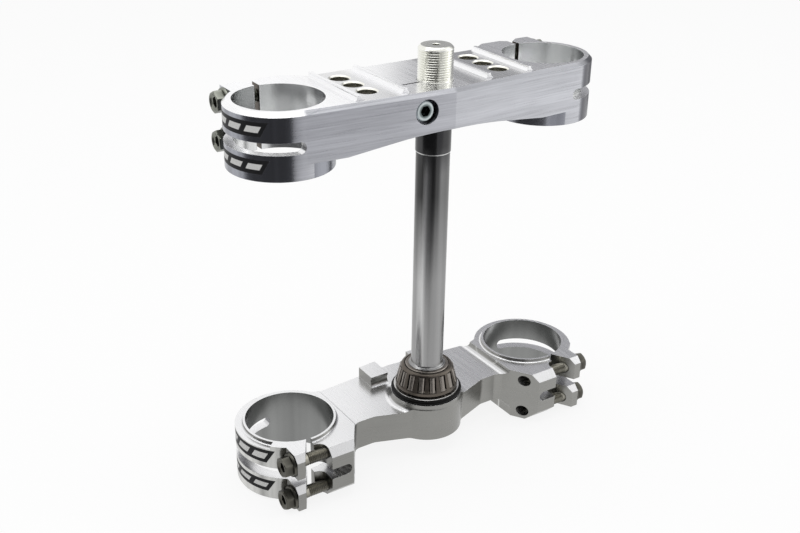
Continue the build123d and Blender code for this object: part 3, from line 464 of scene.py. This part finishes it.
def stem_metal():
    """Smooth turned aluminium with painted reflections in soft upright stripes, darker above and lighter
    below, and painted shade where it runs up into the clamp.
    """
    made, shader, surface = material("turned_aluminium", metallic=1.0)
    shader.xyz = shader.place()
    z = shader.xyz[2]
    across = shader.step(shader.round_axis(0, 0)[1], *STEM_SIDE_SEEN)
    # Painted reflections: dark stripes above and light stripes below, across the side seen.
    dark_reflections = shader.ramp(
        across, (0.0, 0.12), (0.17, 0.06), (0.31, 0.05), (0.385, 0.75), (0.43, 0.40), (0.50, 0.09),
        (0.61, 0.09), (0.67, 0.23), (1.0, 0.10),
    )
    light_reflections = shader.ramp(
        across, (0.0, 0.30), (0.20, 0.33), (0.36, 0.70), (0.43, 0.40), (0.50, 0.30), (0.72, 0.38),
        (0.89, 0.25), (1.0, 0.30),
    )
    tone = shader.mix(shader.step(z, STEM_DARK_ABOVE_Z, STEM_LIGHT_BELOW_Z), dark_reflections, light_reflections)
    # Painted shade under the upper clamp, and a painted highlight on the small step where the shaft
    # widens.
    tone = shader.mix(shader.step(z, *STEM_SHADE_Z), tone, STEM_SHADE_TONE)
    tone = shader.mix(shader.between(z, *STEM_SEAM_Z, 0.1), tone, STEM_SEAM_HIGHLIGHT_TONE)
    tone = shader.mix(shader.step(z, *STEM_THREAD_Z), tone, STEM_THREAD_TONE)
    tone = shader.mix(1.0, tone, shader.painted_reflection_bands(0.22, 0.88), blend="MULTIPLY")
    rings = shader.noise(1400.0, (0.02, 0.02, 1.0))
    shader.feed(surface.inputs["Base Color"], shader.mottled(tone, rings, 0.97))
    shader.feed(surface.inputs["Roughness"], shader.spread(rings, *STEM_ROUGHNESS))
    return made


def bright_screw():
    """A chromed head: a painted highlight in a ring near its edge and painted shade round its socket."""
    made, shader, surface = material("bright_screw", metallic=1.0)
    x, _, z = shader.place()
    from_x = shader.math("SUBTRACT", x, STEM_BOLT_X)
    from_z = shader.math("SUBTRACT", z, STEM_BOLT_Z)
    reach = shader.length(from_x, from_z)
    # Painted shade round the socket, a painted highlight ring, then a mid tone out to the edge.
    painted_head_light = shader.ramp(
        shader.step(reach, *STEM_BOLT_FACE), (0.0, (0.05, 0.06, 0.06)), (0.30, (0.20, 0.24, 0.24)),
        (0.55, (0.62, 0.68, 0.69)), (1.0, (0.34, 0.38, 0.39)),
    )
    shader.feed(surface.inputs["Base Color"], shader.mottled(painted_head_light, shader.noise(260.0, detail=2.0), 0.75))
    surface.inputs["Roughness"].default_value = 0.12
    shader.feed(surface.inputs["Normal"], shader.rounded(0.25))
    return made


def rubber():
    """Matt black, with a fine grain."""
    made, shader, surface = material("black_rubber")
    grain = shader.noise(900.0, detail=2.0)
    dark, light = (0.001, 0.001, 0.001), (0.003, 0.0029, 0.0028)
    colour = shader.ramp(grain, (NOISE_LOW, dark), (NOISE_HIGH, light))
    shader.feed(surface.inputs["Base Color"], colour)
    surface.inputs["Roughness"].default_value = 0.35
    surface.inputs["Specular IOR Level"].default_value = 0.12
    shader.feed(surface.inputs["Normal"], shader.bump(grain, 0.25, 0.05))
    return made


# Each clamp's walls, rings, bores and tops are toned by painted light and shade.
UPPER_METAL = clamp_metal(
    "upper_machined_aluminium", UPPER_BORE, UPPER_RING, UPPER_LABELS, UPPER_LABEL_END,
    painted_light_tones=((0.72, 0.73, 0.775), (0.37, 0.38, 0.42), (0.92, 0.93, 0.93), 0.98),
    streaks=0.28, chamfer_shade_share=1.0, level_from=0.80, slot=UPPER_SLOT_Z, upper=1.0,
)
LOWER_METAL = clamp_metal(
    "lower_machined_aluminium", LOWER_BORE, LOWER_RING, LOWER_LABELS, LOWER_LABEL_END,
    painted_light_tones=((0.325, 0.323, 0.308), (0.66, 0.66, 0.64), (0.30, 0.305, 0.30), 0.91),
    streaks=0.06, chamfer_shade_share=0.76, level_from=0.55, slot=LOWER_SLOT_Z, upper=0.0,
)
STEM = stem_metal()
RACE = metal("greased_steel", (0.33, 0.30, 0.27), 0.22, (0.3, 0.3, 1.0), 900.0, variation=0.10)
CARRIER = metal("seal_carrier_steel", (0.85, 0.84, 0.82), 0.22, (0.3, 0.3, 1.0), 900.0, variation=0.08)
CAGE = metal("dark_cage_steel", (0.155, 0.135, 0.115), 0.34, (0.4, 0.4, 1.0), 700.0, variation=0.12)
PLATED = metal(
    "zinc_plated_steel", (0.27, 0.28, 0.245), 0.32, (1.0, 0.3, 0.3), 600.0,
    variation=0.12, edge=0.1, root_shade=0.2,
)
DARK_BOLT = metal(
    "dark_plated_steel", (0.12, 0.116, 0.10), 0.34, (1.0, 0.3, 0.3), 600.0,
    variation=0.08, edge=0.1, shank=4.5, root_shade=0.2,
)
CHROME = bright_screw()
RUBBER = rubber()

FINISH = {
    "upper_clamp": UPPER_METAL,
    "lower_clamp": LOWER_METAL,
    "steering_stem": STEM,
    "bearing_inner_race": RACE,
    "bearing_cage": CAGE,
    "seal_carrier": CARRIER,
    "dust_seal": RUBBER,
    "stem_pinch_bolt": CHROME,
}
SHARED_FINISH = {"bearing": RACE, "upper": PLATED, "lower": DARK_BOLT}
for name, node in NODES.items():
    node.data.materials.clear()
    node.data.materials.append(FINISH.get(name) or SHARED_FINISH[name.split("_")[0]])


# Turned and threaded pieces, built from rings round an axis
STEM_SIDES = 72
BOLT_SIDES = 48
CREASE_DEGREES = 32


def thread_depth(pitch, turn, height):
    """How far a thread's flank lies under its crest, from 0 to 1."""
    place = (height / pitch - turn / (2 * pi)) % 1.0
    return min(1.0, max(0.0, 1.25 * abs(2 * place - 1) - 0.125))


def thread_radius(crest, cut, pitch, height, turn):
    """The radius of a thread with that depth of cut, at a height and an angle."""
    return crest - cut * thread_depth(pitch, turn, height)


def hexagon(apothem, turn):
    """Distance from a hexagon's middle to its side."""
    return apothem / cos((turn - pi / 6) % (pi / 3) - pi / 6)


def ringed(name, rings, sides, place, finish):
    """A mesh of closed rings, each (radius at an angle, height), in millimetres along its own axis."""
    mesh = bmesh.new()
    loops = []
    for radius, height in rings:
        loop = []
        for index in range(sides):
            turn = 2 * pi * index / sides
            reach = radius(turn) if callable(radius) else radius
            point = Vector((reach * cos(turn), reach * sin(turn), height)) * MM
            loop.append(mesh.verts.new(place @ point))
        loops.append(loop)
    for low, high in zip(loops, loops[1:]):
        for index in range(sides):
            after = (index + 1) % sides
            mesh.faces.new((low[index], low[after], high[after], high[index]))
    mesh.faces.new(reversed(loops[0]))
    mesh.faces.new(loops[-1])
    data = bpy.data.meshes.new(name)
    mesh.to_mesh(data)
    mesh.free()
    data.materials.append(finish)
    data.shade_smooth()
    data.set_sharp_from_angle(angle=radians(CREASE_DEGREES))
    piece = bpy.data.objects.new(name, data)
    bpy.context.scene.collection.objects.link(piece)
    return piece


def threaded(crest, depth, pitch, low, high, steps, runout):
    """Rings of a helical thread between two heights, fading out at both ends."""
    count = round((high - low) / pitch * steps)
    made = []
    for index in range(count + 1):
        height = low + (high - low) * index / count
        cut = depth * min(1.0, (height - low) / runout, (high - height) / runout)
        radius = partial(thread_radius, crest, cut, pitch, height)
        made.append((radius, height))
    return made


def carry(piece, node):
    """Hides a node and puts a piece on the clamps body in its place."""
    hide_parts(node)
    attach(piece, "clamps")


# Outlines of the turned pieces as (radius, height), in millimetres
STEM_BORE = [(6.5, 159.9), (6.5, -26.1), (7.2, -26.8)]
STEM_FLANGE = [(16.4, -26.8), (17.0, -26.2), (17.0, -23.2), (16.6, -22.8), (12.5, -22.8)]
STEM_SEAT = [(12.5, 20.7), (12.1, 21.1), (11.7, 21.15), (11.2, 21.5), (10.9, 22.1)]
STEM_SHAFT = [(10.8, 22.8), (10.8, 172.8)]
STEM_CLAMPED = [(11.2, 173.2), (11.2, 217.6), (10.95, 218.0)]
STEM_TOP = [(10.6, 238.3), (9.6, 239.3), (9.3, 239.5)]
STEM_DRILLING = [(2.6, 239.5), (2.3, 239.2), (2.3, 232.0), (0.05, 230.6)]
BOLT_POINT = [(3.0, -35.9), (3.9, -35.0)]
BOLT_FLANGE = [(3.97, -0.1), (7.6, 0.0), (8.0, 0.3), (7.75, 1.3), (7.4, 1.7), (6.95, 1.8)]
BOLT_DISH = [(5.6, 7.5), (5.1, 7.5), (4.4, 6.8), (3.7, 6.4)]
SOCKET_FLOOR = [(1.4, 3.5), (0.05, 2.9)]

# The bolts' heads, in millimetres
HEAD_APOTHEM = 5.95
HEAD_HEIGHTS = (1.85, 5.9, 6.3, 6.7, 7.1, 7.4)
HEAD_CHAMFER_SLOPE = 1.7
SOCKET_APOTHEM = 3.0
SOCKET_HEIGHTS = (6.2, 3.6)


def head_radius(height, turn):
    """A hexagon cut by a cone that reaches its flats at the top."""
    cone = HEAD_APOTHEM + (HEAD_HEIGHTS[-1] - height) * HEAD_CHAMFER_SLOPE
    return min(hexagon(HEAD_APOTHEM, turn), cone)


def dress_stem():
    """The whole shaft: drilled foot, bearing seat, slim shaft, clamped section and threaded top."""
    thread = threaded(10.98, 0.85, NUT_THREAD, low=218.2, high=237.6, steps=8, runout=1.0)
    rings = STEM_BORE + STEM_FLANGE + STEM_SEAT + STEM_SHAFT + STEM_CLAMPED + thread
    rings += STEM_TOP + STEM_DRILLING
    return ringed("stem_shaft", rings, STEM_SIDES, Matrix.Identity(4), STEM)


def dress_bolt(name, side, y, z, finish):
    """A flange bolt: threaded shank, washer face, chamfered hexagon and hexagon socket."""
    thread = threaded(3.97, 0.75, GRIP_THREAD, low=-34.8, high=-10.0, steps=7, runout=1.0)
    head = [(partial(head_radius, height), height) for height in HEAD_HEIGHTS]
    socket = [(partial(hexagon, SOCKET_APOTHEM), height) for height in SOCKET_HEIGHTS]
    rings = BOLT_POINT + thread + BOLT_FLANGE + head + BOLT_DISH + socket + SOCKET_FLOOR
    place = Matrix(
        ((0, 0, side, side * BOLT_SEAT_X * MM), (side, 0, 0, y * MM), (0, 1, 0, z * MM), (0, 0, 0, 1))
    )
    return ringed(name, rings, BOLT_SIDES, place, finish)


# Fork bolts: y and heights in millimetres, lowest first, and finish
FORK_BOLTS = {"upper": (48.7, (186.0, 210.0), PLATED), "lower": (-21.0, (-32.2, -7.3), DARK_BOLT)}

carry(dress_stem(), "steering_stem")
for clamp, (y, heights, finish) in FORK_BOLTS.items():
    for side_name, side in (("left", -1), ("right", 1)):
        for level, z in zip(("bottom", "top"), heights):
            node = f"{clamp}_{side_name}_{level}_bolt"
            carry(dress_bolt(f"{node}_detail", side, y, z, finish), node)


# Camera
right = Vector((cos(CAMERA_AZIMUTH), sin(CAMERA_AZIMUTH), 0))
outward = cos(CAMERA_ELEVATION)
back = Vector((sin(CAMERA_AZIMUTH) * outward, -cos(CAMERA_AZIMUTH) * outward, sin(CAMERA_ELEVATION)))
up = back.cross(right)
turned_right = right * cos(CAMERA_ROLL) + up * sin(CAMERA_ROLL)
turned_up = up * cos(CAMERA_ROLL) - right * sin(CAMERA_ROLL)
camera_data = bpy.data.cameras.new("camera")
camera_data.sensor_width = CAMERA_SENSOR_MM
camera_data.lens = CAMERA_LENS_MM
camera = bpy.data.objects.new("camera", camera_data)
axes = Matrix((turned_right, turned_up, back)).transposed().to_4x4()
camera.matrix_world = Matrix.Translation(CAMERA_PLACE) @ axes
bpy.context.scene.collection.objects.link(camera)
bpy.context.scene.camera = camera


# Studio, with lamps as place, size and power
LAMPS = {
    "overhead": ((0.0, 0.15, 1.5), (1.4, 1.0), 6.0),
    "left_side": ((-1.3, 0.2, 0.8), (0.5, 1.2), 2.5),
    "right_side": ((1.2, -0.5, 0.7), (0.5, 1.2), 2.0),
}
LAMP_TARGET = Vector((0, 0, 0.1))
WORLD_GLOW = 0.9
FLOOR_REACH = 3.0
FLOOR_WHITENESS = 0.86
CARD_BLUE = 1.05

# Cards that only reflections show: brightness, two feet of the card, height of its top
CARDS = {
    "dark_card": (0.085, (-0.56, 0.14), (-0.08, -0.42), 0.60),
    "grey_card": (0.58, (-0.08, -0.60), (0.37, -0.66), 0.50),
    "right_card": (0.35, (0.478, 0.764), (0.90, 0.15), 0.80),
}


def softbox(name, place, size, power):
    """A lamp with a broad even face, turned to the object."""
    lamp = bpy.data.lights.new(name, "AREA")
    lamp.shape = "RECTANGLE"
    lamp.size, lamp.size_y = size
    lamp.energy = power
    made = bpy.data.objects.new(name, lamp)
    made.location = place
    made.rotation_euler = (LAMP_TARGET - Vector(place)).to_track_quat("-Z", "Y").to_euler()
    bpy.context.scene.collection.objects.link(made)


for name, (place, size, power) in LAMPS.items():
    softbox(name, place, size, power)


def shown(shader):
    """1 for the rays that show the background: those of the camera, of gloss and through glass."""
    rays = shader.node("ShaderNodeLightPath").outputs
    return shader.most(rays["Is Camera Ray"], rays["Is Glossy Ray"], rays["Is Transmission Ray"])


world = bpy.data.worlds.new("studio")
world.use_nodes = True
world.node_tree.nodes.clear()
sky = Shader(world.node_tree)
direction = sky.node("ShaderNodeTexCoord").outputs["Generated"]
height = sky.node("ShaderNodeSeparateXYZ", {0: direction}).outputs[2]
share = sky.step(height, -1.0, 1.0)
glow = sky.ramp(share, (0.0, 0.25), (0.45, 0.35), (0.6, 0.75), (1.0, 0.8))
lit = sky.node("ShaderNodeBackground", {"Color": glow, "Strength": WORLD_GLOW})
white = sky.node("ShaderNodeBackground", {"Color": (1, 1, 1, 1), "Strength": 1.0})
both = sky.node("ShaderNodeMixShader", {0: shown(sky), 1: lit.outputs[0], 2: white.outputs[0]})
sky.node("ShaderNodeOutputWorld", {0: both.outputs[0]})
bpy.context.scene.world = world


def sheet(name, corners):
    """A flat quadrilateral that belongs to the studio."""
    mesh = bpy.data.meshes.new(name)
    mesh.from_pydata(corners, [], [(0, 1, 2, 3)])
    made = bpy.data.objects.new(name, mesh)
    bpy.context.scene.collection.objects.link(made)
    return made


corners = ((-1, -1), (1, -1), (1, 1), (-1, 1))
floor = sheet("floor", [(x * FLOOR_REACH, y * FLOOR_REACH, FLOOR_Z) for x, y in corners])
paper, page = blank("paper")
matt = page.node("ShaderNodeBsdfDiffuse", {"Color": (0.92, 0.92, 0.92, 1)})
bright = page.node("ShaderNodeEmission", {"Color": (1, 1, 1, 1), "Strength": 1.0})
seen = page.times(shown(page), FLOOR_WHITENESS)
joined = page.node("ShaderNodeMixShader", {0: seen, 1: matt.outputs[0], 2: bright.outputs[0]})
page.node("ShaderNodeOutputMaterial", {0: joined.outputs[0]})
floor.data.materials.append(paper)

for name, (tone, start, end, top) in CARDS.items():
    card = sheet(name, [(*start, FLOOR_Z), (*end, FLOOR_Z), (*end, top), (*start, top)])
    felt, nap = blank(name)
    glow = nap.node("ShaderNodeEmission", {"Color": (tone, tone, tone * CARD_BLUE, 1), "Strength": 1.0})
    nap.node("ShaderNodeOutputMaterial", {0: glow.outputs[0]})
    card.data.materials.append(felt)
    card.visible_camera = False
    card.visible_diffuse = False
    card.visible_shadow = False
    card.visible_transmission = False

bpy.context.scene.view_settings.view_transform = "Standard"
